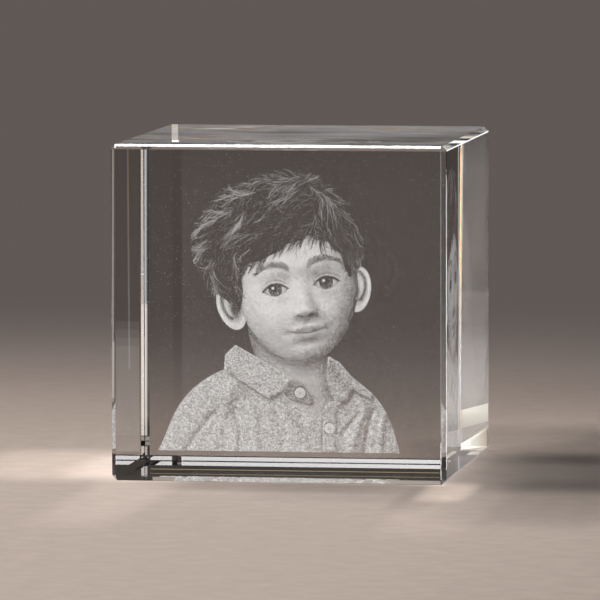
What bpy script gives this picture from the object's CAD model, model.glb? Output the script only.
import math

import bmesh
import bpy
import numpy as np
from mathutils import Matrix, Vector


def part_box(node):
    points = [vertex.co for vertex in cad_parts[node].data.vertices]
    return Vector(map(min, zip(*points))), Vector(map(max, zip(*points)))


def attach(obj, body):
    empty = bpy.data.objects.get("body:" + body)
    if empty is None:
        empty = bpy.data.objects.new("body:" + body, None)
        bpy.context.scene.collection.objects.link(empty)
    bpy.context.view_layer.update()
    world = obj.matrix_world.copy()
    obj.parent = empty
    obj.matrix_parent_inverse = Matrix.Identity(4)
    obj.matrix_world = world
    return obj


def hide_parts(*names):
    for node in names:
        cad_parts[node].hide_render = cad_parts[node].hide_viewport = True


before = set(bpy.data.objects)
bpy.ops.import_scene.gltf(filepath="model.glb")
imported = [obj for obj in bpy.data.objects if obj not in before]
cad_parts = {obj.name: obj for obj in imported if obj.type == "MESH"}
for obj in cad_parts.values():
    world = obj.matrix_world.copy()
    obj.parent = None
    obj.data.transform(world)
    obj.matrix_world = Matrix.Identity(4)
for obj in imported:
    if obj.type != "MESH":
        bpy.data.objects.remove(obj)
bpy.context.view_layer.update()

# Crystal block: one piece of clear optical glass, sawn, ground and polished on six faces, with a
# narrow polished bevel along every edge. It stands loose on the table on its lower face.
block_low, block_high = (Vector(corner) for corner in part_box("crystal_block"))
block_size = block_high - block_low
block_middle = (block_low + block_high) / 2
top_corners = [v.co.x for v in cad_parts["crystal_block"].data.vertices if v.co.z > block_high.z - 1e-6]
bevel_leg = block_high.x - max(top_corners)

block_mesh = bpy.data.meshes.new("crystal_block_polished")
shaping = bmesh.new()
bmesh.ops.create_cube(shaping, size=1.0)
bmesh.ops.scale(shaping, vec=block_size, verts=shaping.verts)
bmesh.ops.translate(shaping, vec=block_middle, verts=shaping.verts)
arris = 0.00015
for leg in (bevel_leg, arris):
    bmesh.ops.bevel(shaping, geom=shaping.edges[:], offset=leg, segments=1, affect="EDGES")
shaping.to_mesh(block_mesh)
shaping.free()


def set_out(name, data):
    """A new object in the scene"""
    thing = bpy.data.objects.new(name, data)
    bpy.context.scene.collection.objects.link(thing)
    return thing


def new_material(name):
    """An empty material, its nodes and its links"""
    material = bpy.data.materials.new(name)
    material.use_nodes = True
    material.node_tree.nodes.clear()
    return material, material.node_tree.nodes, material.node_tree.links


def add_node(nodes, kind, values=(), **settings):
    """A node with its settings, then the values of its sockets"""
    node = nodes.new(kind)
    for name, setting in settings.items():
        setattr(node, name, setting)
    for socket, value in dict(values).items():
        node.inputs[socket].default_value = value
    return node


def join(links, *wires):
    """Links, each from a node's output to another node's input"""
    for source, leaves, target, enters in wires:
        links.new(source.outputs[leaves], target.inputs[enters])


glass, nodes, links = new_material("optical_glass")
output = add_node(nodes, "ShaderNodeOutputMaterial")
body = add_node(nodes, "ShaderNodeBsdfPrincipled", {"Transmission Weight": 1.0, "IOR": 1.70})
place = add_node(nodes, "ShaderNodeTexCoord")
smudges = add_node(nodes, "ShaderNodeTexNoise", {"Scale": 45.0, "Detail": 4.0})
polish = add_node(nodes, "ShaderNodeMapRange", {"From Min": 0.50, "From Max": 0.80, "To Max": 0.003})
shadow = add_node(nodes, "ShaderNodeBsdfTransparent", {"Color": (0.82, 0.82, 0.82, 1.0)})
path = add_node(nodes, "ShaderNodeLightPath")
through = add_node(nodes, "ShaderNodeMixShader")
depth_tint = add_node(nodes, "ShaderNodeVolumeAbsorption", {"Color": (0.02, 0.0, 0.0, 1.0), "Density": 3.8})
join(
    links,
    (place, "Object", smudges, "Vector"),
    (smudges, "Fac", polish, "Value"),
    (polish, "Result", body, "Roughness"),
    (path, "Is Shadow Ray", through, "Fac"),
    (body, "BSDF", through, 1),
    (shadow, "BSDF", through, 2),
    (through, "Shader", output, "Surface"),
    (depth_tint, "Volume", output, "Volume"),
)
block_mesh.materials.append(glass)
crystal_block = set_out("crystal_block_polished", block_mesh)
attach(crystal_block, "root")
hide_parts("crystal_block")

# Engraved hair: short, dark and tousled, swept from a parting on the right of the crown to the left.
# The laser leaves the dark hair clear and writes only the light on its strands, as fine white
# fractures in the glass. The picture is worked out in millimetres on the middle plane of the sheet.
pitch = 0.12
margin = 4.0
mm = 1000.0
engraved_names = [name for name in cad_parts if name.startswith("engraved_")]
sheet_boxes = np.array([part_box(name) for name in engraved_names]) * mm
sheet_low, sheet_high = sheet_boxes[:, 0].min(0), sheet_boxes[:, 1].max(0)
sheet_y = (sheet_low[1] + sheet_high[1]) / 2
columns = np.arange(sheet_low[0] - margin, sheet_high[0] + margin, pitch)
rows = np.arange(sheet_low[2] - margin, sheet_high[2] + margin, pitch)
X, Z = np.meshgrid(columns, rows)
chance = np.random.default_rng(7)


def triangles(node):
    """The triangles of a node's front face, in millimetres across and up"""
    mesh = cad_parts[node].data
    mesh.calc_loop_triangles()
    corners = np.array([v.co for v in mesh.vertices]) * mm
    faces = np.array([t.vertices[:] for t in mesh.loop_triangles if t.normal.y < -0.9])
    return corners[faces][:, :, [0, 2]]


def window(low, high):
    """The part of the grid that holds a small box"""
    first = np.maximum(((low - (columns[0], rows[0])) / pitch).astype(int), 0)
    last = ((high - (columns[0], rows[0])) / pitch).astype(int) + 2
    return slice(first[1], last[1]), slice(first[0], last[0])


def field(node):
    """Grid cells inside an engraved field"""
    inside = np.zeros(X.shape, bool)
    for corners in triangles(node):
        part = window(corners.min(0), corners.max(0))
        sides = [
            (q[0] - p[0]) * (Z[part] - p[1]) - (q[1] - p[1]) * (X[part] - p[0])
            for p, q in zip(corners, np.roll(corners, -1, 0))
        ]
        inside[part] |= (np.min(sides, 0) >= -1e-6) | (np.max(sides, 0) <= 1e-6)
    return inside


wave_rows = np.fft.fftfreq(X.shape[0])[:, None]
wave_columns = np.fft.rfftfreq(X.shape[1])[None]


def blur(picture, across, up=None):
    """A picture softened by a width in millimetres"""
    up = across if up is None else up
    damping = np.exp(-2 * (np.pi / pitch) ** 2 * ((wave_columns * across) ** 2 + (wave_rows * up) ** 2))
    return np.fft.irfft2(np.fft.rfft2(picture) * damping, X.shape)


def speckle(across, up=None):
    """Even random grain of a given size"""
    grain = blur(chance.standard_normal(X.shape), across, up)
    return grain / grain.std()


def ramp(start, end, value):
    """A smooth step from 0 at start to 1 at end"""
    t = np.clip((value - start) / (end - start), 0, 1)
    return t * t * (3 - 2 * t)


def shifted(picture, across, up):
    """A picture moved by a few millimetres, for cast shadows"""
    return np.roll(picture, (round(up / pitch), round(across / pitch)), (0, 1))


def bezier(points, count=24):
    """Points along a Bezier curve"""
    t = np.linspace(0, 1, count)[:, None]
    levels = [np.repeat(point[None], count, 0) for point in np.array(points, float)]
    while len(levels) > 1:
        levels = [(1 - t) * a + t * b for a, b in zip(levels, levels[1:])]
    return levels[0]


def two_boxes(node):
    """The boxes of a node's left and right parts, as low and high corners"""
    points = triangles(node).reshape(-1, 2)
    on_left = points[:, 0] < points[:, 0].mean()
    return np.array([(part.min(0), part.max(0)) for part in (points[on_left], points[~on_left])])


# The head's own axes: across and up from the point midway between the eyes
left_eye, right_eye = two_boxes("engraved_irises").mean(1)
head_middle = (left_eye + right_eye) / 2
eye_spacing = np.hypot(*(right_eye - left_eye))
head_right = (right_eye - left_eye) / eye_spacing
U = (X - head_middle[0]) * head_right[0] + (Z - head_middle[1]) * head_right[1]
V = (Z - head_middle[1]) * head_right[0] - (X - head_middle[0]) * head_right[1]
half_eyes = eye_spacing / 2


def on_head(points):
    """Points from the head's axes to the picture"""
    u, v = np.asarray(points, float).T
    return head_middle + np.outer(u, head_right) + np.outer(v, (-head_right[1], head_right[0]))


def bump(u, v, wide, high, turn=0.0):
    """A soft mound on the head"""
    c, s = math.cos(turn), math.sin(turn)
    across = (c * (U - u) + s * (V - v)) / wide
    up = (c * (V - v) - s * (U - u)) / high
    return np.exp(-0.5 * (across**2 + up**2))


hair_field = field("engraved_hair").astype(float)
hair_edge = blur(hair_field, 0.4)
skin_names = ("face", "eyes", "irises", "brows", "nose", "lips")
face_field = np.any([field("engraved_" + name) for name in skin_names], 0).astype(float)
face_near = blur(face_field, 0.8)

# Locks that give the lie of the hair, from root to tip, as points picked by eye on an enlarged piece of
# the photograph. They are in its pixels, across and down, and head_pixel is the middle of the head's axes.
photo_zoom = 8.71
mm_per_pixel = np.array((0.2425, -0.2411)) / photo_zoom
head_pixel = (977.4, 1040.3)
lock_pixels = {
    "crown_sweep": ((860, 190), (700, 260), (560, 380), (440, 510), (330, 650)),
    "crown_short": ((920, 170), (780, 270), (640, 400)),
    "crown_across": ((1100, 300), (930, 290), (760, 400), (548, 524)),
    "over_fringe": ((1000, 420), (820, 480), (680, 560), (541, 649)),
    "fringe_left": ((760, 560), (602, 625), (444, 723), (336, 795)),
    "fringe_middle": ((900, 500), (820, 600), (702, 682)),
    "fringe_right": ((1040, 480), (1000, 570), (880, 680)),
    "left_crown": ((600, 280), (398, 408), (220, 470), (70, 540)),
    "left_top": ((520, 230), (340, 300), (185, 340)),
    "top_left": ((760, 130), (600, 130), (470, 180)),
    "left_upper": ((400, 480), (260, 620), (162, 673), (66, 725)),
    "left_middle": ((420, 560), (260, 700), (152, 813), (97, 873)),
    "left_lower": ((400, 620), (270, 780), (200, 920), (220, 1060)),
    "left_sideburn": ((420, 700), (330, 860), (360, 1040), (450, 1220)),
    "left_temple": ((520, 700), (450, 800), (420, 960)),
    "right_crown": ((1060, 180), (1180, 260), (1280, 340)),
    "right_top": ((1050, 130), (1220, 140), (1330, 240)),
    "right_side": ((1200, 260), (1400, 400), (1490, 560), (1505, 760)),
    "right_temple": ((1120, 380), (1230, 560), (1330, 740)),
    "right_sideburn": ((1200, 400), (1370, 620), (1410, 840), (1430, 980)),
    "top": ((980, 140), (860, 95), (700, 90), (620, 110)),
    "top_right": ((1000, 120), (1080, 90), (1150, 110)),
    "over_fringe_short": ((900, 380), (760, 480), (620, 540)),
}


def picked(pixels):
    """Points from the photograph to the head's axes, to a tenth of a millimetre"""
    across, up = (mm_per_pixel * (np.array(pixels) - head_pixel)).T
    on_axes = (across * head_right[0] + up * head_right[1], up * head_right[0] - across * head_right[1])
    return np.round(np.stack(on_axes, 1), 1)


# Where the light catches the locks: across, up, width, height, strength
glints = (
    (-8.5, 24.5, 4.5, 2.2, 1.0), (-15.5, 20.5, 4.0, 2.6, 1.0), (-19.5, 15.5, 3.5, 3.0, 0.95),
    (-10.5, 17.5, 3.6, 2.4, 0.9), (-5.0, 18.0, 3.0, 1.8, 0.7), (-18.5, 9.0, 3.2, 3.6, 0.65),
    (0.0, 25.5, 4.5, 1.6, 0.85), (7.5, 23.2, 3.6, 1.8, 0.9), (11.5, 19.5, 2.6, 2.4, 0.85),
    (15.0, 12.5, 1.8, 4.5, 0.7), (-14.0, 10.5, 2.6, 2.4, 0.55), (-18.0, 3.0, 2.6, 4.0, 0.5),
    (13.0, 5.0, 2.0, 4.0, 0.4), (-8.0, 13.0, 3.0, 1.4, 0.5), (-2.5, 20.5, 4.0, 2.0, 0.45),
    (2.5, 17.5, 4.5, 1.6, 0.35), (-11.5, 13.5, 3.5, 1.8, 0.45), (7.0, 14.5, 2.5, 3.0, 0.30),
)
lock_curves = [on_head(bezier(picked(pixels), 14)) for pixels in lock_pixels.values()]
lock_steps = np.concatenate([np.diff(curve, axis=0) for curve in lock_curves])
lock_steps /= np.linalg.norm(lock_steps, axis=1)[:, None]
lock_places = np.concatenate([(curve[1:] + curve[:-1]) / 2 for curve in lock_curves])
coarse = 5
nearness = ((X[::coarse, ::coarse, None] - lock_places[:, 0]) ** 2
            + (Z[::coarse, ::coarse, None] - lock_places[:, 1]) ** 2 + 0.3) ** -1.5
lie = np.repeat(np.repeat(nearness @ lock_steps, coarse, 0), coarse, 1)[: X.shape[0], : X.shape[1]]
lie /= np.linalg.norm(lie, axis=2)[..., None]
waviness = 0.17 * speckle(1.5)
lie_x, lie_z = blur(lie[..., 0], 0.35), blur(lie[..., 1], 0.35)
lie_x, lie_z = (
    lie_x * np.cos(waviness) - lie_z * np.sin(waviness),
    lie_x * np.sin(waviness) + lie_z * np.cos(waviness),
)


def combed(grain, reach):
    """Grain drawn out along the lie of the hair"""
    total = grain.copy()
    for way in (1, -1):
        row, column = np.indices(X.shape).astype(float)
        for _ in range(int(reach / pitch)):
            cell = (
                np.clip(row.round().astype(int), 0, X.shape[0] - 1),
                np.clip(column.round().astype(int), 0, X.shape[1] - 1),
            )
            column += way * lie_x[cell]
            row += way * lie_z[cell]
            total += grain[cell]
    total -= total.mean()
    return total / total.std()


def strand(start, length, curl, step=0.06):
    """One hair that grows along the lie from a starting point"""
    points = [np.array(start)]
    turn = chance.normal(0, 0.12)
    bend = chance.normal(0, curl) * step
    for _ in range(int(length / step)):
        row = min(max(int((points[-1][1] - rows[0]) / pitch), 0), X.shape[0] - 1)
        column = min(max(int((points[-1][0] - columns[0]) / pitch), 0), X.shape[1] - 1)
        c, s = math.cos(turn), math.sin(turn)
        along_x, along_z = lie_x[row, column], lie_z[row, column]
        onward = np.array((c * along_x - s * along_z, s * along_x + c * along_z))
        points.append(points[-1] + step * onward)
        turn += bend
    return np.array(points)


def lay(picture, points, weight):
    """Add a strand to a picture, shared between the cells that it touches"""
    place = (points - (columns[0], rows[0])) / pitch
    cell = np.clip(np.floor(place).astype(int), 0, (X.shape[1] - 2, X.shape[0] - 2))
    a, b = (place - cell).T
    shares = ((0, 0, (1 - a) * (1 - b)), (1, 0, a * (1 - b)), (0, 1, (1 - a) * b), (1, 1, a * b))
    for right, above, share in shares:
        np.add.at(picture, (cell[:, 1] + above, cell[:, 0] + right), share * weight)


def scattered(where, count):
    """Random cell centres inside a mask"""
    cells = np.argwhere(where)
    chosen = cells[chance.integers(len(cells), size=count)]
    return np.stack((X[tuple(chosen.T)], Z[tuple(chosen.T)]), 1), chosen


def towards(*direction):
    """A direction of length one"""
    return np.array(direction) / np.linalg.norm(direction)


def tuft(picture, root, along, length, count, spread, weight):
    """A few hairs that leave the rim side by side and meet in one tip"""
    across = np.array((-along[1], along[0]))
    tip = root + length * along + chance.normal(0, 0.22) * length * across
    for _ in range(count):
        start = root - 0.4 * along + spread * chance.uniform(-1, 1) * across
        middle = root + 0.55 * length * along + 0.4 * spread * chance.uniform(-1, 1) * across
        points = bezier((start, middle, tip + chance.normal(0, 0.16, 2)), int(length / 0.05))
        fading = 1 - 0.7 * np.linspace(0, 1, len(points)) ** 2
        lay(picture, points, weight * chance.uniform(0.35, 1.0) * fading)


def lie_at(cell, pull):
    """The lie of the hair in a cell, pulled some way"""
    return towards(lie_x[tuple(cell)] + pull[0], lie_z[tuple(cell)] + pull[1])


clumps = combed(speckle(0.42), 3.2)
fine_hair = combed(speckle(0.08), 2.0)
sheen = 0.25 + 0.82 * np.clip(sum(h * bump(u, v, wide, high) for u, v, wide, high, h in glints), 0, 1.15)
rim = ramp(0.50, 0.90, blur(hair_field, 1.3) + 0.10 * clumps + 0.06 * fine_hair)
streaks = np.clip(0.70 * clumps + 0.55 * fine_hair + 0.30 * speckle(0.07) - 0.75, 0, 3)
hair_shade = (0.008 + 0.012 * sheen + 0.042 * sheen * streaks**1.2) * rim

bright_strands = np.zeros(X.shape)
for start, cell in zip(*scattered(rim > 0.35, 5400)):
    light = sheen[tuple(cell)] * (0.40 + 0.60 * np.clip(clumps[tuple(cell)], -0.6, 1.6))
    if chance.uniform(0.15, 1.5) < light:
        points = strand(start, chance.uniform(1.2, 7.5), 0.12)
        swell = np.sin(np.pi * np.linspace(0, 1, len(points))) ** 0.7
        lay(bright_strands, points, 0.34 * chance.uniform(0.1, 1.0) ** 2.4 * swell * min(light, 1.1))
outer_rim = (rim > 0.10) & (rim < 0.75) & (V > -3) & (face_near < 0.12)
outward = np.stack(np.gradient(-blur(hair_field, 2.0), pitch))[::-1]
for start, cell in zip(*scattered(outer_rim, 130)):
    along = lie_at(cell, 2.2 * outward[(slice(None), *cell)])
    tuft(bright_strands, start, along, chance.uniform(0.7, 2.6), 4, 0.35, chance.uniform(0.02, 0.13))
for start in scattered(outer_rim, 160)[0]:
    points = strand(start, chance.uniform(0.6, 2.4), 0.6)
    swell = np.sin(np.pi * np.linspace(0.15, 1, len(points))) ** 0.8
    lay(bright_strands, points, 0.26 * chance.uniform(0.08, 0.75) ** 1.5 * swell)
strand_shade = 1 - np.exp(-1.25 * bright_strands)

fringe_strands = np.zeros(X.shape)
fringe_rim = (hair_edge > 0.35) & (hair_edge < 0.75) & (face_near > 0.15)
# Tufts of the fringe: lowest place, number, pull downwards, length, hairs, spread and weight
for lowest, number, pull, length, hairs, spread, weight in (
    (3, 46, 0.7, (0.8, 3.6), 9, 0.5, (0.15, 0.5)),
    (-6, 120, 0.4, (0.4, 1.6), 4, 0.3, (0.15, 0.5)),
    (6, 9, 0.5, (3.2, 5.5), 2, 0.2, (0.25, 0.5)),
):
    for start, cell in zip(*scattered(fringe_rim & (V > lowest), number)):
        along = lie_at(cell, (0, -pull))
        tuft(fringe_strands, start, along, chance.uniform(*length), hairs, spread, chance.uniform(*weight))
hair_cover = ramp(0.40, 0.64, hair_edge + 0.07 * clumps + 0.04 * fine_hair)
fringe = 1 - (1 - hair_cover) * np.exp(-0.9 * fringe_strands)
fringe_shadow = 1 - 0.32 * blur(shifted(hair_field, 0.5, -1.2), 1.0)
hair_shade = np.maximum(hair_shade * hair_cover, strand_shade)

# Fractures: where the laser's beam comes to a point it cracks the glass, which leaves one small white
# mark. Pale tones are large marks close together, and dark tones are fewer and smaller ones.
glass_level, white_level = 0.31, 0.94
gamma = 2.2
fewest = 0.30
full_mark = 0.205
sheet_depth = 0.25
white_noise = chance.standard_normal(X.shape)
blue_noise = white_noise - blur(white_noise, 0.16)
threshold = np.empty(X.size)
threshold[np.argsort(blue_noise, axis=None)] = np.linspace(0, 1, X.size)
threshold = threshold.reshape(X.shape)
around = np.radians((90, 210, 330))
mark_tips = np.array([(math.cos(a), 0.0, math.sin(a)) for a in around] + [(0.0, 0.9, 0.0)])
mark_tips = mark_tips / math.sqrt(3)
mark_sides = np.array(((0, 2, 1), (0, 1, 3), (1, 2, 3), (2, 0, 3)))


def fracture_glint():
    """Node group: the uneven whiteness of micro-fractures, from mark to mark"""
    group = bpy.data.node_groups.new("fracture_glint", "ShaderNodeTree")
    for name, kind, way in (
        ("White", "NodeSocketColor", "INPUT"), ("Dull", "NodeSocketColor", "INPUT"),
        ("Cells per metre", "NodeSocketFloat", "INPUT"),
        ("Color", "NodeSocketColor", "OUTPUT"), ("Roughness", "NodeSocketFloat", "OUTPUT"),
    ):
        group.interface.new_socket(name, in_out=way, socket_type=kind)
    entry = add_node(group.nodes, "NodeGroupInput")
    leave = add_node(group.nodes, "NodeGroupOutput")
    spot = add_node(group.nodes, "ShaderNodeTexCoord")
    cells = add_node(group.nodes, "ShaderNodeTexVoronoi")
    split = add_node(group.nodes, "ShaderNodeSeparateColor")
    blend = add_node(group.nodes, "ShaderNodeMix", data_type="RGBA")
    rough = add_node(group.nodes, "ShaderNodeMapRange", {"To Min": 0.45, "To Max": 0.85})
    join(
        group.links,
        (spot, "Object", cells, "Vector"),
        (entry, "Cells per metre", cells, "Scale"),
        (cells, "Color", split, "Color"),
        (split, "Red", blend, "Factor"),
        (entry, "Dull", blend, "A"),
        (entry, "White", blend, "B"),
        (split, "Green", rough, "Value"),
        (blend, "Result", leave, "Color"),
        (rough, "Result", leave, "Roughness"),
    )
    return group


glint_group = fracture_glint()


def fracture_material(name, white, dull, cell=0.24):
    """White scattering fractures in the glass, in cells of one whiteness"""
    material, nodes, links = new_material(name)
    output = add_node(nodes, "ShaderNodeOutputMaterial")
    scatter = add_node(nodes, "ShaderNodeBsdfPrincipled", {"Specular IOR Level": 0.2})
    glint = add_node(
        nodes,
        "ShaderNodeGroup",
        {"White": (*white, 1.0), "Dull": (*dull, 1.0), "Cells per metre": mm / cell},
        node_tree=glint_group,
    )
    join(
        links,
        (glint, "Color", scatter, "Base Color"),
        (glint, "Roughness", scatter, "Roughness"),
        (scatter, "BSDF", output, "Surface"),
    )
    return material


def marks_piece(name, places, sizes, material, node=None):
    """A cloud of small four-sided fractures, one per place, each turned its own way"""
    count = len(places)
    spin = chance.uniform(0, 2 * np.pi, count)
    tilt = chance.normal(0, 0.22, (count, 2))
    c, s = np.cos(spin), np.sin(spin)
    tips = np.repeat(mark_tips[None], count, 0)
    turned = np.stack((
        c[:, None] * tips[..., 0] - s[:, None] * tips[..., 2],
        tips[..., 1],
        s[:, None] * tips[..., 0] + c[:, None] * tips[..., 2],
    ), -1)
    turned[..., 1] += tilt[:, :1] * turned[..., 0] + tilt[:, 1:] * turned[..., 2]
    corners = (places[:, None] + turned * sizes[:, None, None]) / mm
    mesh = bpy.data.meshes.new(name)
    mesh.vertices.add(count * 4)
    mesh.vertices.foreach_set("co", corners.ravel())
    mesh.loops.add(count * 12)
    mesh.loops.foreach_set("vertex_index", (mark_sides[None] + 4 * np.arange(count)[:, None, None]).ravel())
    mesh.polygons.add(count * 4)
    mesh.polygons.foreach_set("loop_start", np.arange(0, count * 12, 3))
    mesh.update()
    mesh.materials.append(material)
    piece = set_out(name, mesh)
    piece.visible_shadow = False
    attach(piece, "root")
    if node:
        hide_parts(node)


def engrave(name, where, shade, material):
    """The marks of one engraved field, from its shades of 0 for clear glass to 1 for white"""
    level = glass_level + (white_level - glass_level) * np.clip(shade, 0, 1)
    cover = (level**gamma - glass_level**gamma) / (white_level**gamma - glass_level**gamma)
    marked = where & (cover > threshold * fewest)
    size = full_mark * np.sqrt(np.maximum(cover, fewest))[marked]
    jitter = chance.uniform(-0.3, 0.3, (2, marked.sum())) * pitch
    deep = sheet_y + chance.uniform(-sheet_depth, sheet_depth, marked.sum())
    places = np.stack((X[marked] + jitter[0], deep, Z[marked] + jitter[1]), 1)
    marks_piece(name + "_marks", places, size, material, name)


hair_white = fracture_material("hair_fractures", (0.82, 0.81, 0.80), (0.40, 0.39, 0.38))
other_fields = np.any([field(name) for name in engraved_names if name != "engraved_hair"], 0)
engrave("engraved_hair", (hair_edge > 0.002) & ~other_fields, hair_shade, hair_white)

# Engraved face: a calm child's face in even light from the upper left, with the brows, eyes, irises,
# nose and lips as fields of their own. Each is a closed sheet of fractures, written in one pass.
# The skin is shaded from a relief of the face, in millimetres above the sheet.


def lit(relief, light):
    """Light on a relief from one direction"""
    up, across = np.gradient(relief, pitch)
    return (light[2] - across * light[0] - up * light[1]) / np.sqrt(1 + across**2 + up**2)


def distance(curve, reach):
    """Distance of each cell from a curve, and how far along it the nearest point is"""
    nearest = np.full(X.shape, 1e3)
    along = np.zeros(X.shape)
    for count, (a, b) in enumerate(zip(curve, curve[1:])):
        part = window(np.minimum(a, b) - reach, np.maximum(a, b) + reach)
        step = b - a
        t = np.clip(((X[part] - a[0]) * step[0] + (Z[part] - a[1]) * step[1]) / max(step @ step, 1e-9), 0, 1)
        gap = np.hypot(X[part] - a[0] - t * step[0], Z[part] - a[1] - t * step[1])
        closer = gap < nearest[part]
        nearest[part] = np.where(closer, gap, nearest[part])
        along[part] = np.where(closer, (count + t) / (len(curve) - 1), along[part])
    return nearest, along


def stroke(curve, width, soft=0.10):
    """A soft line along a curve, of one width or of a width per point"""
    width = np.broadcast_to(np.asarray(width, float), (len(curve),))
    gap, along = distance(curve, width.max() + 1.2)
    half = np.interp(along, np.linspace(0, 1, len(width)), width) / 2
    return ramp(half + soft, half - soft, gap) * (gap < 1e2)


key_light = towards(-0.42, 0.32, 0.85)
fill_light = towards(0.75, 0.10, 0.66)
mouth_line = -10.6
oval_up = np.where(V > 3, (V - 3) / 20.0, (V - 3) / 22.0)
oval = np.hypot((U + 1.0) / 15.8, oval_up)
relief = blur(10.0 * np.sqrt(np.clip(1 - oval**2.5, 0, 1)), 0.8)
# Forms in pairs: lift or sink, place across and up, width, height and turn
paired_forms = {
    "eye_hollow": (-1.45, 5.8, 0.9, 3.5, 2.3, 0.0),
    "eyeball": (1.00, half_eyes, -0.15, 2.7, 1.75, 0.0),
    "brow": (0.40, 6.2, 4.9, 4.2, 1.5, 0.0),
    "cheek": (1.15, 7.8, -6.6, 4.3, 3.8, 0.0),
    "temple": (-0.30, 13.5, 2.5, 2.6, 4.5, 0.0),
    "below_eye": (-0.12, 4.6, -2.8, 1.8, 0.7, 0.35),
    "nose_wing": (0.62, 2.05, -6.25, 0.90, 0.85, 0.0),
    "upper_lip": (0.34, 1.15, mouth_line + 0.62, 1.5, 0.52, 0.0),
    "mouth_corner": (-0.25, 5.0, mouth_line, 0.8, 0.9, 0.0),
}
for side in (-1, 1):
    for lift, across, up, wide, high, turn in paired_forms.values():
        relief += lift * bump(side * across, up, wide, high, side * turn)
down_nose = np.clip((1.8 - V) / 8.2, 0, 1) ** 1.4
ridge = np.exp(-0.5 * (U / (1.10 + 0.45 * down_nose)) ** 2)
relief += (0.20 + 1.15 * down_nose) * ridge * ramp(5.5, 0.0, V) * ramp(-8.4, -4.6, V)
# Forms on the middle line: lift or sink, place up, width and height
middle_forms = {
    "nose_tip": (0.95, -5.6, 1.80, 1.60),
    "lip_groove": (-0.25, -8.9, 0.5, 0.9),
    "mouth_mound": (0.35, mouth_line - 0.6, 4.8, 2.8),
    "lower_lip": (0.66, mouth_line - 1.12, 2.3, 0.72),
    "chin_groove": (-0.42, mouth_line - 2.95, 2.7, 0.75),
    "chin": (0.85, -15.6, 3.2, 2.1),
}
for lift, up, wide, high in middle_forms.values():
    relief += lift * bump(0, up, wide, high)

skin = -0.16 + 0.94 * np.clip(0.15 + 0.85 * lit(relief, key_light), 0, 1)
skin += 0.18 * (0.5 + 0.5 * lit(relief, fill_light))
skin -= 0.22 * np.clip(blur(relief, 0.8) - relief, -0.35, 1.2)
skin -= 0.075 * np.clip(blur(relief, 2.2) - relief, -0.5, 2.0)
skin -= 0.12 * bump(1.9, -3.2, 0.8, 2.4) + 0.13 * bump(2.4, -7.9, 1.7, 0.8) + 0.07 * ramp(2, 13, U)
gloss = towards(*(key_light + (0, 0, 1)))
skin += 0.09 * np.clip(lit(blur(relief, 0.25), gloss), 0, 1) ** 30

iris_size = 1.68
eye_reach, upper_lid, lower_lid = 3.15, 1.42, 1.38
lid = np.linspace(-1, 1, 30)
for side in (-1, 1):
    middle = side * half_eyes
    skin -= 0.13 * bump(side * 4.2, 1.5, 1.5, 1.7) + 0.07 * bump(side * 6.0, 2.6, 3.2, 0.8)
    ball = 0.74 - 0.22 * ramp(0.0, 1.3, V) - 0.36 * ramp(1.4, 3.2, np.abs(U - middle))
    out = np.hypot(U - middle, V - 0.22)
    iris = 0.13 - 0.09 * ramp(0.95, iris_size, out) + 0.12 * ramp(0.3, -1.3, V)
    rays = np.sin(26 * np.arctan2(V - 0.1, U - middle) + side)
    iris += 0.03 * rays * ramp(0.8, 1.1, out) * ramp(1.6, 1.3, out)
    pupil = ramp(0.90, 0.72, out)
    edge = ramp(iris_size + 0.12, iris_size - 0.12, out)
    eye = ball * (1 - edge) + iris * (1 - pupil) * edge
    eye *= 1 - 0.55 * ramp(0.35, 1.5, V)
    eye = np.maximum(eye, 0.9 * ramp(0.42, 0.26, np.hypot(U - middle + 0.55, V - 0.62)))
    eye = np.maximum(eye, 0.25 * ramp(0.55, 0.20, np.hypot(U - middle - 0.55, V + 0.65)))
    opening = 1 - ((U - middle) / eye_reach) ** 2
    seen = ramp(-0.14, 0.14, upper_lid * opening - V) * ramp(-0.14, 0.14, V + lower_lid * opening)
    skin = np.where(U * side > 0, eye * seen + skin * (1 - seen), skin)
    swell = np.sin(np.linspace(0.12, np.pi - 0.35, 30))[::side]
    upper = np.stack((middle + eye_reach * lid, upper_lid * (1 - lid**2)), 1)
    lower = np.stack((middle + 3.05 * lid, -lower_lid * (1 - lid**2)), 1)
    crease = np.stack((middle + side * 0.15 + 3.3 * lid, 1.45 * (1 - lid**2) + 0.95), 1)
    skin *= 1 - 0.92 * stroke(on_head(upper), 0.22 + 0.46 * swell, 0.12)
    skin *= 1 - 0.45 * stroke(on_head(lower), 0.12 + 0.16 * swell, 0.16)
    skin *= 1 - 0.40 * stroke(on_head(crease), 0.14 + 0.24 * swell, 0.24)
    for lash in np.linspace(0.15, 1.0, 9):
        root = np.array((middle + side * eye_reach * lash, upper_lid * (1 - lash**2)))
        curl = root + (side * (0.25 + 0.35 * lash), 0.55 - 0.25 * lash)
        skin *= 1 - 0.6 * stroke(on_head(bezier((root, curl - (0, 0.15), curl), 6)), 0.12, 0.09)
    skin *= 1 - 0.14 * bump(middle, -2.5, 2.3, 0.6)
    skin *= 1 - 0.72 * bump(side * 1.20, -7.0, 0.66, 0.28, turn=side * 0.40)
    wing = bezier(((side * 2.45, -5.4), (side * 3.15, -6.3), (side * 2.45, -7.4)))
    skin *= 1 - 0.20 * stroke(on_head(wing), 0.35, 0.35)

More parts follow.
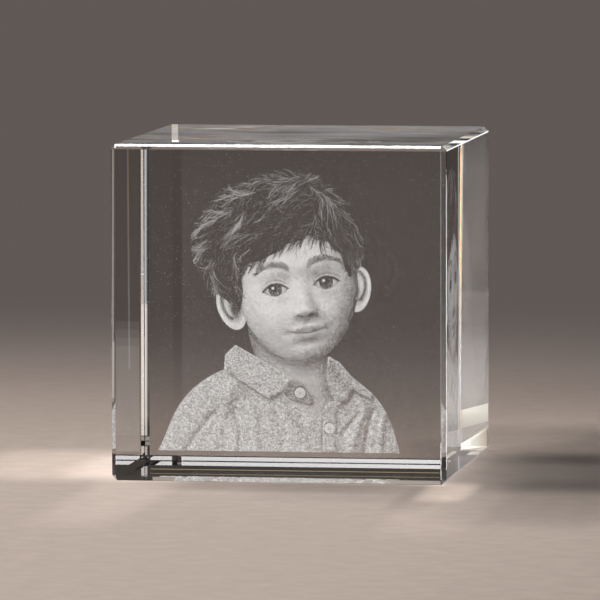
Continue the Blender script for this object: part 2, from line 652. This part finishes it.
brow_hairs = 0.85 * blur(field("engraved_brows").astype(float), 0.30)
for side in (-1, 1):
    for _ in range(230):
        t = chance.uniform()
        root = np.array((side * (half_eyes - 4 + 8 * t), 4.35 + 6.0 * t * (1 - t)))
        root[1] += (0.72 - 0.50 * t) * chance.uniform(-1, 1)
        rise = math.radians(62 - 78 * t + chance.normal(0, 9))
        reach = chance.uniform(0.9, 1.5) * (1 - 0.25 * t) * np.array((side * math.cos(rise), math.sin(rise)))
        hair = stroke(on_head(bezier((root, root + reach / 2 + (0, 0.1), root + reach), 7)), 0.14, 0.08)
        brow_hairs = np.maximum(brow_hairs, chance.uniform(0.45, 0.95) * hair)
skin *= 1 - 0.80 * np.clip(1.1 * brow_hairs, 0, 1)


def lips_meet(across):
    """The height of the line where the lips meet"""
    return mouth_line - 0.42 - 0.16 * np.exp(-((across / 0.75) ** 2)) + 0.62 * np.abs(across / 4.2) ** 2.2


skin *= 1 - 0.12 * bump(0, -7.45, 1.9, 0.5)
lip_tone = 0.26 + 0.16 * ramp(-0.3, 0.3, V - lips_meet(U))
skin *= 1 - blur(field("engraved_lips").astype(float), 0.22) * lip_tone
skin *= 1 - 0.15 * bump(0, mouth_line - 3.0, 2.6, 0.65)
skin += 0.10 * bump(-0.6, mouth_line - 1.35, 1.0, 0.28)
mouth = np.linspace(-4.3, 4.3, 44)
mouth_width = 0.10 + 0.22 * np.cos(mouth / 4.3 * np.pi / 2)
skin *= 1 - 0.72 * stroke(on_head(np.stack((mouth, lips_meet(mouth)), 1)), mouth_width, 0.13)
for side in (-1, 1):
    skin *= 1 - 0.26 * bump(side * 4.5, mouth_line + 0.20, 0.55, 0.42)
skin += 0.020 * speckle(0.5) + 0.045 * speckle(0.11) + 0.03 * speckle(0.07)
skin *= fringe_shadow * (1 - fringe)
skin = np.maximum(skin, 0.25 * strand_shade)

skin_white = fracture_material("skin_fractures", (0.98, 0.97, 0.96), (0.80, 0.79, 0.78))
detail_white = fracture_material("detail_fractures", (0.95, 0.94, 0.93), (0.82, 0.81, 0.80))
slots = {"face": "engraved_skin", "nose": "engraved_skin"}
for name in skin_names:
    slot = slots.get(name, "engraved_detail")
    finish = skin_white if slot == "engraved_skin" else detail_white
    engrave("engraved_" + name, field("engraved_" + name), skin, finish)

# Engraved ears: one beside each cheek, partly under the hair. A rim, the groove behind it, the inner
# fold, the bowl and the lobe are shaded in the same sheet of fractures as the face.
ear_tilt = math.radians(14)


def on_ear(points, side, middle):
    """A curve from an ear's own axes, outwards and up, to the picture"""
    curve = bezier(points)
    across, high = curve[:, 0] * side, curve[:, 1]
    c, s = math.cos(ear_tilt), side * math.sin(ear_tilt)
    return on_head(np.stack((middle[0] + c * across + s * high, middle[1] - s * across + c * high), 1))


for name, side, level in (("engraved_ear_left", -1, 1.12), ("engraved_ear_right", 1, 0.98)):
    ear_u, ear_v = side * 15.5 - 2.0, -2.6
    c, s = math.cos(ear_tilt), side * math.sin(ear_tilt)
    out = (c * (U - ear_u) - s * (V - ear_v)) * side
    up = s * (U - ear_u) + c * (V - ear_v)
    edge = np.hypot(out / 3.2, up / 5.5)
    groove = on_ear(((-1.2, 4.3), (1.4, 4.8), (2.1, 1.6), (1.9, -0.6), (0.9, -2.4)), side, (ear_u, ear_v))
    inner_fold = on_ear(((-0.9, 2.9), (0.6, 2.9), (1.1, 0.8), (0.7, -1.6)), side, (ear_u, ear_v))
    ear = 0.66 + 0.16 * ramp(-2, -5, up)
    ear += 0.30 * np.exp(-(((edge - 0.86) / 0.10) ** 2)) * ramp(-4.6, -2.5, up)
    ear -= 0.42 * stroke(groove, 0.75, 0.35)
    ear += 0.24 * stroke(inner_fold, 0.9, 0.4)
    ear -= 0.62 * bump(ear_u - side * 0.9, ear_v - 0.6, 1.05, 1.75)
    ear += 0.12 * bump(ear_u - side * 1.9, ear_v - 1.2, 0.6, 0.8)
    ear -= 0.22 * ramp(0.93, 1.03, edge)
    ear = level * np.clip(ear, 0.06, 1) * fringe_shadow * (1 - fringe)
    engrave(name, field(name), ear, skin_white)

# Engraved neck: bare skin in the open collar, in the shadow of the jaw, with two faint creases. It is
# written in the same sheet of fractures as the face and shaded as a soft column.
collar_fields = {name: field("engraved_collar_" + name).astype(float) for name in ("left", "right", "stand")}
across_neck = (X - 1.6) / 10.5
neck = 0.18 + 0.46 * np.clip(0.92 * np.sqrt(np.clip(1 - across_neck**2, 0, 1)) - 0.30 * across_neck, 0, 1)
neck *= 1 - 0.56 * blur(shifted(face_field, 0.6, -2.0), 1.0)
for crease, width, depth in (
    (((-7, 27), (-1, 23.0), (7, 23.4)), 0.35, 0.13),
    (((-3, 23.2), (3, 20.6), (8, 20.8)), 0.30, 0.10),
):
    neck *= 1 - depth * stroke(bezier(crease), width, 0.3)
neck *= 1 - 0.42 * blur(shifted(sum(collar_fields.values()), 0.35, -0.45), 0.45)
neck *= 1 - 0.35 * ramp(5.5, 9.0, X) * ramp(16, 21, Z)
neck += 0.035 * speckle(0.14)
engrave("engraved_neck", field("engraved_neck"), neck, skin_white)

# Engraved shirt: two fronts of a slubby woven cotton, with soft folds that fall from the shoulders and
# a sleeve seam. The marks show the weave as a fine even grain.
cloth_light = towards(-0.55, 0.40, 0.72)
crumple = speckle(0.55, 0.35)
threads = np.clip(speckle(0.34, 0.07), 0, 3) + np.clip(speckle(0.07, 0.34), 0, 3)
weave = 0.09 * speckle(0.10) + 0.07 * speckle(0.06) + 0.045 * (threads - 0.8)
weave -= 0.20 * np.clip(speckle(0.12) - 1.2, 0, 1.3)


def fold(points, width, height):
    """A soft ridge, or a valley with a height below zero, in the cloth"""
    return height * np.exp(-((distance(bezier(points), 4 * width)[0] / width) ** 2))


folds = (
    (((-27, 9), (-22, 16), (-14, 21)), 3.0, 1.5), (((-20, 5), (-17, 12), (-15, 20)), 1.0, 0.45),
    (((-13, 4), (-12, 9), (-14, 15)), 0.8, -0.60), (((-9, 4), (-8.5, 9), (-10, 15)), 1.2, 0.55),
    (((-16.5, 4), (-16, 8), (-17.5, 12)), 0.7, -0.35), (((-3, 4), (-1.5, 8), (-4, 14)), 1.1, -0.30),
    (((3, 4), (2, 9), (-2, 15)), 1.3, 0.35), (((-26, 5), (-22, 11), (-19, 14)), 0.7, -0.40),
    (((14, 4), (14.5, 9), (17, 15)), 1.0, 0.55), (((17.5, 4), (17.5, 10), (19.5, 15)), 0.7, -0.65),
    (((21, 4), (21, 9), (22, 14)), 0.9, 0.50), (((12, 9), (14, 12), (16, 14)), 0.7, -0.40),
)
drape = -0.008 * (X + 4) ** 2 + sum(fold(*each) for each in folds) + 0.045 * crumple
shirt = 0.25 + 0.82 * np.clip(lit(drape, cloth_light), 0, 1) + weave + 0.03 * crumple
shirt *= 1 - 0.75 * blur(shifted(collar_fields["left"] + collar_fields["right"], 0.50, -0.75), 0.32)
placket_field = field("engraved_placket").astype(float)
shirt *= 1 - 0.62 * blur(shifted(placket_field, -0.35, 0.0), 0.25)
shirt *= 1 - 0.30 * blur(shifted(placket_field, 0.40, -0.2), 0.30)
sleeve_seam = bezier(((-15.4, 23.0), (-19.5, 19.4), (-21.6, 13.0), (-22.4, 5)))
shirt *= 1 - 0.30 * stroke(sleeve_seam, 0.16, 0.12)
shirt += 0.08 * stroke(sleeve_seam + (-0.35, 0.1), 0.2, 0.15)

button_boxes = two_boxes("engraved_buttons")
button_middles = button_boxes.mean(1)
button_shadow = np.ones(X.shape)
for middle in button_middles:
    button_shadow *= 1 - 0.5 * ramp(1.9, 1.1, np.hypot(X - middle[0] - 0.25, Z - middle[1] + 0.3))
cloth_white = fracture_material("cloth_fractures", (0.98, 0.97, 0.95), (0.36, 0.35, 0.34), cell=0.30)
for name in ("engraved_shirt_left", "engraved_shirt_right"):
    engrave(name, field(name), shirt * button_shadow, cloth_white)

# Engraved collar: two folded wings and the buttoned stand between them, of the same cotton, with a
# row of stitches just inside the edge and a shadow on what lies below.
trim_light = towards(-0.5, 0.6, 0.62)


def panel(where, level, thick, soft):
    """A cloth panel that stands a little proud of what is under it"""
    return level + 0.70 * (lit(thick * blur(where, soft), trim_light) - trim_light[2]) + weave


def stitches(where, run):
    """Dashes at an even distance inside a panel's edge"""
    line = np.exp(-(((blur(where, 0.45) - 0.93) / 0.03) ** 2)) * where
    return line * (np.sin(run * 2 * np.pi / 0.8) > -0.2)


left_wing = panel(collar_fields["left"], 0.92, 0.8, 0.25) - 0.10 * ramp(-6, 4, X) + 0.05 * speckle(1.0, 0.25)
right_wing = panel(collar_fields["right"], 0.72, 0.8, 0.25) - 0.10 * ramp(12, 8.5, X)
right_wing -= 0.20 * np.clip(fold(((9.5, 25), (13, 20.5), (15, 18)), 1.1, 1.0), 0, 1)
stand = panel(collar_fields["stand"], 0.50, 0.55, 0.30)
stand *= (1 - 0.5 * blur(shifted(collar_fields["left"], 0.4, -0.7), 0.4)) * button_shadow
for name, shade in (("left", left_wing), ("right", right_wing), ("stand", stand)):
    where = collar_fields[name]
    if name != "stand":
        shade = shade + 0.10 * (blur(where, 0.3) < 0.80) - 0.24 * stitches(where, X + 0.6 * Z)
    engrave("engraved_collar_" + name, where > 0, shade, cloth_white)

# Engraved placket: the band down the front of the shirt, of the same cotton folded over twice and held
# by a row of stitches inside each edge. It stands a little proud of the two fronts.
placket = panel(placket_field, 0.72, 0.75, 0.30)
placket -= 0.20 * stitches(placket_field, Z)
engrave("engraved_placket", placket_field > 0, placket * button_shadow, cloth_white)

# Engraved buttons: two small round buttons with a raised rim and four holes, which close the shirt. Each
# is a closed field of fractures in the same sheet.
button_radius = np.ptp(button_boxes[0][:, 0]) / 2
button = np.zeros(X.shape)
for middle in button_middles:
    across, up = X - middle[0], Z - middle[1]
    out = np.hypot(across, up)
    face = 0.84 + 0.18 * (0.6 * up - 0.5 * across) / button_radius * ramp(0.6, 0.95, out / button_radius)
    face -= 0.24 * np.exp(-(((out - 0.84) / 0.10) ** 2))
    for turn in np.radians((45, 135, 225, 315)):
        hole = np.hypot(across - 0.34 * math.cos(turn), up - 0.34 * math.sin(turn))
        face -= 0.6 * np.exp(-0.5 * (hole / 0.13) ** 2)
    button = np.where(out < button_radius + pitch, face, button)
engrave("engraved_buttons", field("engraved_buttons"), button, detail_white)

# Stray marks: a faint dust of single fractures that the laser leaves all over the picture's plane. They
# belong to no field and replace nothing.
stray_count = 3000
reach = np.array((block_size.x, block_size.z)) * mm / 2 - 3.0
stray = chance.uniform(-1, 1, (stray_count, 2)) * reach + (0, block_middle.z * mm)
stray_places = np.stack((stray[:, 0], sheet_y + chance.uniform(-0.4, 0.4, stray_count), stray[:, 1]), 1)
stray_sizes = chance.uniform(0.04, 0.12, stray_count)
marks_piece("stray_marks", stray_places, stray_sizes, detail_white)

# Table and backdrop: one wide matt sheet, pale where the light falls round the block. Far from the
# block it is a plain dark studio backdrop, which keeps its own level in any lamp light.
table_reach = 6.0
air_gap = 0.0002
table_corners = [
    (x * table_reach, y * table_reach, block_low.z - air_gap) for x, y in ((-1, -1), (1, -1), (1, 1), (-1, 1))
]
table_mesh = bpy.data.meshes.new("table")
table_mesh.from_pydata(table_corners, [], [(0, 1, 2, 3)])
table = set_out("table", table_mesh)


def set_stops(shades, stops):
    """The colours of a ramp"""
    elements = shades.color_ramp.elements
    for count, (position, colour) in enumerate(stops):
        element = elements[count] if count < 2 else elements.new(position)
        element.position = position
        element.color = (*colour, 1.0)


matt, nodes, links = new_material("matt_table")
output = add_node(nodes, "ShaderNodeOutputMaterial")
paper = add_node(nodes, "ShaderNodeBsdfPrincipled", {"Roughness": 0.75, "Specular IOR Level": 0.25})
backdrop_colour = (0.118, 0.099, 0.090, 1.0)
backdrop = add_node(nodes, "ShaderNodeEmission", {"Color": backdrop_colour})
place = add_node(nodes, "ShaderNodeTexCoord")
pool_middle = add_node(nodes, "ShaderNodeVectorMath", {1: (-0.05, -0.15, 0.0)}, operation="SUBTRACT")
drawn_in = add_node(nodes, "ShaderNodeVectorMath", {1: (1.0, 0.45, 1.0)}, operation="MULTIPLY")
long_in_front = add_node(nodes, "ShaderNodeVectorMath", operation="MAXIMUM")
away = add_node(nodes, "ShaderNodeVectorMath", operation="LENGTH")
shades = add_node(nodes, "ShaderNodeValToRGB")
set_stops(shades, (
    (0.10, (0.440, 0.364, 0.318)), (0.235, (0.345, 0.280, 0.240)), (0.37, (0.235, 0.190, 0.168)),
    (0.53, (0.170, 0.142, 0.129)), (0.66, (0.128, 0.107, 0.098)),
))
beyond = add_node(
    nodes, "ShaderNodeMapRange", {"From Min": 0.30, "From Max": 0.66}, interpolation_type="SMOOTHSTEP"
)
near_or_far = add_node(nodes, "ShaderNodeMixShader")
# Light that the block gathers on the table and the shade beside it: middle, reach, change of shade
painted = None
for middle, reach, change in (
    ((-0.040, -0.006), (0.019, 0.036), 0.48), ((-0.050, -0.004), (0.042, 0.046), 0.50),
    ((-0.033, -0.070), (0.014, 0.080), 0.20), ((0.042, -0.052), (0.008, 0.026), 0.60),
    ((0.046, -0.080), (0.014, 0.080), 0.14), ((0.0370, -0.066), (0.007, 0.036), -0.18),
    ((0.0, -0.044), (0.040, 0.017), -0.22), ((0.018, -0.055), (0.030, 0.030), -0.10),
    ((0.068, -0.006), (0.036, 0.056), -0.46), ((0.110, 0.0), (0.080, 0.150), -0.27),
    ((0.050, 0.060), (0.042, 0.060), -0.32), ((0.066, -0.072), (0.030, 0.060), -0.16),
):
    offset = add_node(nodes, "ShaderNodeVectorMath", {1: (*middle, 0.0)}, operation="SUBTRACT")
    scaled = add_node(nodes, "ShaderNodeVectorMath", {1: (*reach, 1.0)}, operation="DIVIDE")
    squared = add_node(nodes, "ShaderNodeVectorMath", operation="MULTIPLY")
    out = add_node(nodes, "ShaderNodeVectorMath", operation="LENGTH")
    fade = add_node(
        nodes, "ShaderNodeMapRange", {"To Min": change, "To Max": 0.0}, interpolation_type="SMOOTHERSTEP"
    )
    total = add_node(nodes, "ShaderNodeMath", {1: 1.0})
    join(
        links,
        (place, "Object", offset, 0),
        (offset, "Vector", scaled, 0),
        (scaled, "Vector", squared, 0),
        (scaled, "Vector", squared, 1),
        (squared, "Vector", out, 0),
        (out, "Value", fade, "Value"),
        (fade, "Result", total, 0),
    )
    if painted:
        join(links, (painted, "Value", total, 1))
    painted = total
grain = add_node(nodes, "ShaderNodeTexNoise", {"Scale": 170.0, "Detail": 4.0})
mottle = add_node(
    nodes, "ShaderNodeMapRange", {"From Min": 0.3, "From Max": 0.7, "To Min": 0.94, "To Max": 1.05}
)
grained = add_node(nodes, "ShaderNodeMath", operation="MULTIPLY")
tinted = add_node(nodes, "ShaderNodeVectorMath", operation="SCALE")
join(
    links,
    (place, "Object", grain, "Vector"),
    (grain, "Fac", mottle, "Value"),
    (mottle, "Result", grained, 0),
    (painted, "Value", grained, 1),
    (grained, "Value", tinted, "Scale"),
    (shades, "Color", tinted, 0),
    (place, "Object", pool_middle, 0),
    (pool_middle, "Vector", drawn_in, 0),
    (pool_middle, "Vector", long_in_front, 0),
    (drawn_in, "Vector", long_in_front, 1),
    (long_in_front, "Vector", away, 0),
    (away, "Value", shades, "Fac"),
    (away, "Value", beyond, "Value"),
    (tinted, "Vector", paper, "Base Color"),
    (beyond, "Result", near_or_far, "Fac"),
    (paper, "BSDF", near_or_far, 1),
    (backdrop, "Emission", near_or_far, 2),
)
# Mirrored in the glass the table is light only behind the block, at the right
mirrored = add_node(nodes, "ShaderNodeEmission")
from_middle = add_node(nodes, "ShaderNodeVectorMath", {1: (0.055, 0.12, 0.0)}, operation="DISTANCE")
mirrored_shades = add_node(nodes, "ShaderNodeValToRGB")
set_stops(mirrored_shades, (
    (0.05, (0.55, 0.50, 0.46)), (0.12, (0.42, 0.38, 0.36)), (0.19, (0.27, 0.24, 0.23)),
    (0.28, (0.060, 0.055, 0.053)), (0.36, (0.040, 0.036, 0.034)), (0.57, (0.084, 0.066, 0.056)),
    (0.80, (0.076, 0.061, 0.052)), (1.0, (0.055, 0.048, 0.042)),
))
path = add_node(nodes, "ShaderNodeLightPath")
shown = add_node(nodes, "ShaderNodeMixShader")
join(
    links,
    (place, "Object", from_middle, 0),
    (from_middle, "Value", mirrored_shades, "Fac"),
    (mirrored_shades, "Color", mirrored, "Color"),
    (path, "Is Reflection Ray", shown, "Fac"),
    (near_or_far, "Shader", shown, 1),
    (mirrored, "Emission", shown, 2),
    (shown, "Shader", output, "Surface"),
)
table_mesh.materials.append(matt)

# Light: a soft lamp high on the left for the table, and a broad low one at the front left for the
# picture. Narrow strip lamps and cards round the block show in the glass alone, as the thin bright lines
# along its edges. They light no matt surface.


def set_lamp(
    name, place, facing, across, size, radiance, colour=(1.0, 1.0, 1.0), seen="lit", beam=math.pi / 2
):
    """A rectangular lamp: where it is, the way it shines, the way its width runs, width and height"""
    lamp = bpy.data.lights.new(name, "AREA")
    lamp.shape = "RECTANGLE"
    lamp.size, lamp.size_y = size
    lamp.energy = math.pi * radiance * size[0] * size[1]
    lamp.color = colour
    lamp.spread = 2 * beam
    lamp.energy *= 1 - beam / math.tan(beam)
    holder = set_out(name, lamp)
    behind = -Vector(facing).normalized()
    sideways = (Vector(across) - behind * behind.dot(Vector(across))).normalized()
    turned = Matrix((sideways, behind.cross(sideways), behind)).transposed()
    holder.matrix_world = Matrix.Translation(place) @ turned.to_4x4()
    holder.visible_camera = False
    holder.visible_diffuse = seen == "lit"
    holder.visible_glossy = seen != "through"
    holder.visible_transmission = seen == "through"


for name, place, size, radiance in (
    ("table_lamp", (-0.62, 0.18, 0.82), (0.40, 0.40), 14.4),
    ("front_lamp", (-1.25, -3.25, 0.82), (1.50, 1.50), 31.5),
):
    set_lamp(name, place, block_middle - Vector(place), (1.0, 0.3, 0.0), size, radiance)

east, south, north, down = (1, 0, 0), (0, -1, 0), (0, 1, 0), (0, 0, -1)
neutral, cream, warm, orange = (1.0, 1.0, 1.0), (1.0, 0.93, 0.80), (1.0, 0.90, 0.82), (1.0, 0.58, 0.20)
blue, gold = (0.50, 0.74, 1.0), (1.0, 0.80, 0.45)
# Seen by way of faces inside the block: a strip lamp shines in a narrow beam along one line of sight.
# Beam in degrees, then in millimetres: middle, the way it shines, the way its width runs, width and height
to_left_bevel, to_band, to_corner = (-0.471, -0.878, 0.085), (-0.985, 0.174, 0.017), (0.876, -0.482, 0.0)
to_right_face = (0.132, 0.988, 0.085)
along_left_bevel, along_left_side = (0.878, -0.471, 0.0), (0.980, -0.176, -0.004)
along_front = (0.791, 0.603, 0)
to_left_side, to_base = (-0.176, -0.980, 0.094), (0.152, -0.982, -0.106)
strip_lamps = (
    ("left_edge_strip", 14, (54.2, 171.6, 40), to_left_bevel, along_left_bevel, (0.75, 90), 0.40, warm),
    ("left_edge_low", 14, (54.2, 171.0, 8), to_left_bevel, along_left_bevel, (0.75, 15), 0.38, warm),
    ("left_side_low", 8, (-31.9, 60.0, 13.0), to_left_side, east, (8, 26), 0.060, warm),
    ("left_side_mid", 8, (-31.9, 60.5, 14.0), to_left_side, east, (8, 28), 0.054, warm),
    ("left_side_soft", 8, (-31.9, 61.0, 15.0), to_left_side, east, (8, 30), 0.048, warm),
    ("left_side_high", 8, (-31.9, 61.5, 16.0), to_left_side, east, (8, 32), 0.043, warm),
    ("left_side_orange", 8, (-35.82, 42, 44), to_left_side, along_left_side, (0.12, 88), 0.40, orange),
    ("left_side_blue", 8, (-35.60, 42, 44), to_left_side, along_left_side, (0.12, 88), 0.34, blue),
    ("band_left", 14, (43.5, 31.95, 44), to_band, north, (0.85, 88), 1.60, warm),
    ("band_right", 14, (43.5, 30.24, 44), to_band, north, (0.42, 88), 1.50, warm),
    ("band_blue", 14, (43.5, 30.57, 44), to_band, north, (0.24, 88), 0.95, blue),
    ("band_low_left", 14, (43.6, 31.95, 17), to_band, north, (0.85, 34), 0.85, cream),
    ("band_low_right", 14, (43.6, 30.28, 17), to_band, north, (0.50, 34), 0.95, cream),
    ("band_low_orange", 14, (43.6, 30.66, 17), to_band, north, (0.26, 34), 0.55, orange),
    ("band_foot", 18, (12, -15.5, 300), (0.103, 0.175, -0.979), east, (14, 12), 0.9, cream),
    ("back_corner_strip", 14, (-61.4, 51.3, 44), to_corner, north, (3, 88), 1.6, neutral),
    ("fringe_orange", 14, (-42.32, 20, 44), to_right_face, east, (0.40, 88), 9.0, orange),
    ("fringe_blue", 14, (-41.96, 20, 44), to_right_face, east, (0.26, 88), 4.2, blue),
    ("right_face_low", 14, (-48.5, -60, 17), to_right_face, east, (11, 28), 0.38, warm),
    ("right_face_high", 14, (-48.5, -60, 66), to_right_face, east, (11, 14), 0.22, warm),
    ("right_base_line", 18, (-75.5, 8, 300), (0.128, 0.104, -0.986), east, (9, 4), 2.8, cream),
    ("base_strip", 24, (-32, 13.2, 300), (0.0, 0.106, -0.994), east, (130, 5.5), 2.6, neutral),
    ("base_front_bar", 14, (-27, 150, 94), (0.15, -0.84, -0.52), east, (116, 12), 0.70, (1.0, 0.86, 0.76)),
    ("base_line_upper", 8, (-27, 178.5, 17.1), to_base, east, (120, 0.20), 0.55, gold),
    ("base_line_lower", 8, (-27, 178.5, 18.3), to_base, east, (120, 0.15), 0.45, gold),
    ("left_base_front", 14, (-19, -179, 100), (-0.105, 0.986, -0.132), east, (14, 13), 3.0, cream),
    ("left_base_back", 14, (-14.5, 179.4, 105), (-0.104, -0.986, -0.129), east, (14, 9), 3.0, cream),
)
# Mirrored in the bevels and the top face
mirrored_lamps = (
    ("front_right_strip", 14, (114, -139, 40), (-0.603, 0.791, 0.08), along_front, (12, 90), 1.8, neutral),
    ("front_arris_low", 14, (46, -48, 4), (-0.603, 0.791, 0.10), along_front, (3, 10), 7.0, neutral),
    ("arris_strip", 14, (60, -24, 43), (-0.800, -0.598, 0.05), north, (3, 84), 7.5, neutral),
    ("bevel_glow", 14, (170.6, -57.4, 44), (-0.987, 0.134, 0.08), north, (6, 88), 0.30, warm),
    ("top_strip", 90, (-37, -48.6, 300), down, east, (130, 9.3), 16.0, neutral),
    ("top_left_strip", 90, (-91, -53.9, 300), down, east, (22, 1.4), 14.0, neutral),
    ("top_edge_bar", 90, (63, 168.5, 88.5), south, east, (16, 9), 2.2, neutral),
    ("bevel_in_top", 90, (-62, 177.5, 90.2), south, east, (1.7, 5.4), 0.42, warm),
    ("bevel_spot", 90, (-61.8, 177.3, 92.7), south, east, (1.9, 0.5), 1.1, neutral),
)
for seen, lamps in (("through", strip_lamps), ("mirrored", mirrored_lamps)):
    for name, beam, place, facing, across, size, radiance, colour in lamps:
        place, size = Vector(place) / mm, (size[0] / mm, size[1] / mm)
        set_lamp(name, place, facing, across, size, radiance, colour, seen, math.radians(beam))


def reflector(name, corners, stops):
    """A card that only shows mirrored in the glass, and the ramp of its glow"""
    mesh = bpy.data.meshes.new(name)
    mesh.from_pydata([Vector(corner) / mm for corner in corners], [], [(0, 1, 2, 3)])
    card = set_out(name, mesh)
    card.visible_camera = card.visible_diffuse = card.visible_transmission = card.visible_shadow = False
    material, nodes, links = new_material(name)
    output = add_node(nodes, "ShaderNodeOutputMaterial")
    glow = add_node(nodes, "ShaderNodeEmission")
    shades = add_node(nodes, "ShaderNodeValToRGB")
    set_stops(shades, stops)
    join(links, (shades, "Color", glow, "Color"), (glow, "Emission", output, "Surface"))
    mesh.materials.append(material)
    return nodes, links, shades


def shaded_across(nodes, links, shades):
    """The ramp of a card runs across its width"""
    place = add_node(nodes, "ShaderNodeTexCoord")
    split = add_node(nodes, "ShaderNodeSeparateXYZ")
    join(links, (place, "Generated", split, "Vector"), (split, "X", shades, "Fac"))
    return split


# The top face mirrors a card of soft streaks, the bevel at its right a row of squares and the foot of
# the right face two pale patches
nodes, links, shades = reflector(
    "streaked_card",
    ((-95, 178, 84), (26, 178, 84), (26, 178, 97), (-95, 178, 97)),
    (
        (0.30, (0.100, 0.092, 0.086)), (0.46, (0.190, 0.180, 0.178)), (0.58, (0.290, 0.280, 0.280)),
        (0.64, (0.260, 0.205, 0.150)), (0.70, (0.560, 0.530, 0.500)),
    ),
)
place = add_node(nodes, "ShaderNodeTexCoord")
drawn = add_node(nodes, "ShaderNodeMapping", {"Scale": (16.0, 1.0, 560.0)})
streaks = add_node(nodes, "ShaderNodeTexNoise", {"Scale": 1.7, "Detail": 3.5})
join(
    links,
    (place, "Object", drawn, "Vector"),
    (drawn, "Vector", streaks, "Vector"),
    (streaks, "Fac", shades, "Fac"),
)

nodes, links, shades = reflector(
    "squared_card",
    ((46.6, 173, 93), (53, 173, 93), (53, 173, 110), (46.6, 173, 110)),
    (
        (0.0, (0.42, 0.41, 0.40)), (0.10, (0.16, 0.17, 0.19)), (0.20, (0.50, 0.42, 0.31)),
        (0.27, (0.15, 0.17, 0.20)), (0.36, (0.55, 0.46, 0.33)), (0.44, (1.30, 1.22, 1.10)),
        (0.52, (0.05, 0.06, 0.08)), (0.59, (0.45, 0.36, 0.24)), (0.62, (1.9, 1.9, 1.9)),
        (0.73, (0.04, 0.05, 0.075)), (0.83, (0.48, 0.44, 0.36)),
    ),
)
shades.color_ramp.interpolation = "CONSTANT"
shaded_across(nodes, links, shades)

nodes, links, shades = reflector(
    "pale_card",
    ((45.4, 80, 3.3), (55.7, 80, 0.3), (55.7, 80, 5.0), (45.4, 80, 7.8)),
    (
        (0.0, (1.25, 1.17, 1.03)), (0.62, (1.35, 1.27, 1.12)), (0.67, (1.1, 0.80, 0.50)),
        (0.70, (0.62, 0.56, 0.50)), (1.0, (0.50, 0.46, 0.42)),
    ),
)
split = shaded_across(nodes, links, shades)
fall = add_node(nodes, "ShaderNodeMapRange", {"From Max": 0.75, "To Min": 0.45})
join(links, (split, "Z", fall, "Value"), (fall, "Result", nodes["Emission"], "Strength"))

nodes, links, shades = reflector(
    "foot_card",
    ((40.9, 42, 0.8), (47.3, 42, 0.0), (47.3, 42, 1.45), (40.9, 42, 5.3)),
    ((0.0, (0.95, 0.80, 0.62)), (0.45, (1.5, 1.4, 1.25)), (1.0, (1.75, 1.7, 1.6))),
)
shaded_across(nodes, links, shades)

# Surroundings: a dark studio room. It is lighter where polished glass mirrors it, and behind the table it
# has the backdrop's own colour, so that no horizon shows.
world = bpy.data.worlds.new("dark_studio")
bpy.context.scene.world = world
world.use_nodes = True
nodes, links = world.node_tree.nodes, world.node_tree.links
seen_by = add_node(nodes, "ShaderNodeLightPath")
room = None
for ray, colour in (("Is Reflection Ray", (0.230, 0.213, 0.200, 1.0)), ("Is Camera Ray", backdrop_colour)):
    layer = add_node(nodes, "ShaderNodeMix", {"A": (0.064, 0.056, 0.048, 1.0), "B": colour}, data_type="RGBA")
    join(links, (seen_by, ray, layer, "Factor"))
    if room:
        join(links, (room, "Result", layer, "A"))
    room = layer
join(links, (room, "Result", nodes["Background"], "Color"))

# Camera: nearly level with the block, a little to its right and slightly above, with a long lens, as in
# the photograph. Its place was fitted to the block's corners.
turn, rise, roll = math.radians(8.81), math.radians(4.751), math.radians(-0.128)
aim = Vector((-0.00085, 0.0, 0.04008))
stand_off = 1.7228
focal_pixels = 7148.0
frame_pixels = 600.0
backwards = Vector((math.sin(turn) * math.cos(rise), -math.cos(turn) * math.cos(rise), math.sin(rise)))
level_right = (-backwards).cross(Vector((0, 0, 1))).normalized()
level_up = level_right.cross(-backwards)
right = math.cos(roll) * level_right + math.sin(roll) * level_up
above = math.cos(roll) * level_up - math.sin(roll) * level_right
lens = bpy.data.cameras.new("camera")
lens.sensor_width = 36.0
lens.lens = lens.sensor_width * focal_pixels / frame_pixels
lens.clip_end = 50.0
camera = set_out("camera", lens)
turned = Matrix((right, above, backwards)).transposed().to_4x4()
camera.matrix_world = Matrix.Translation(aim + backwards * stand_off) @ turned
bpy.context.scene.camera = camera

bpy.context.scene.view_settings.view_transform = "Standard"
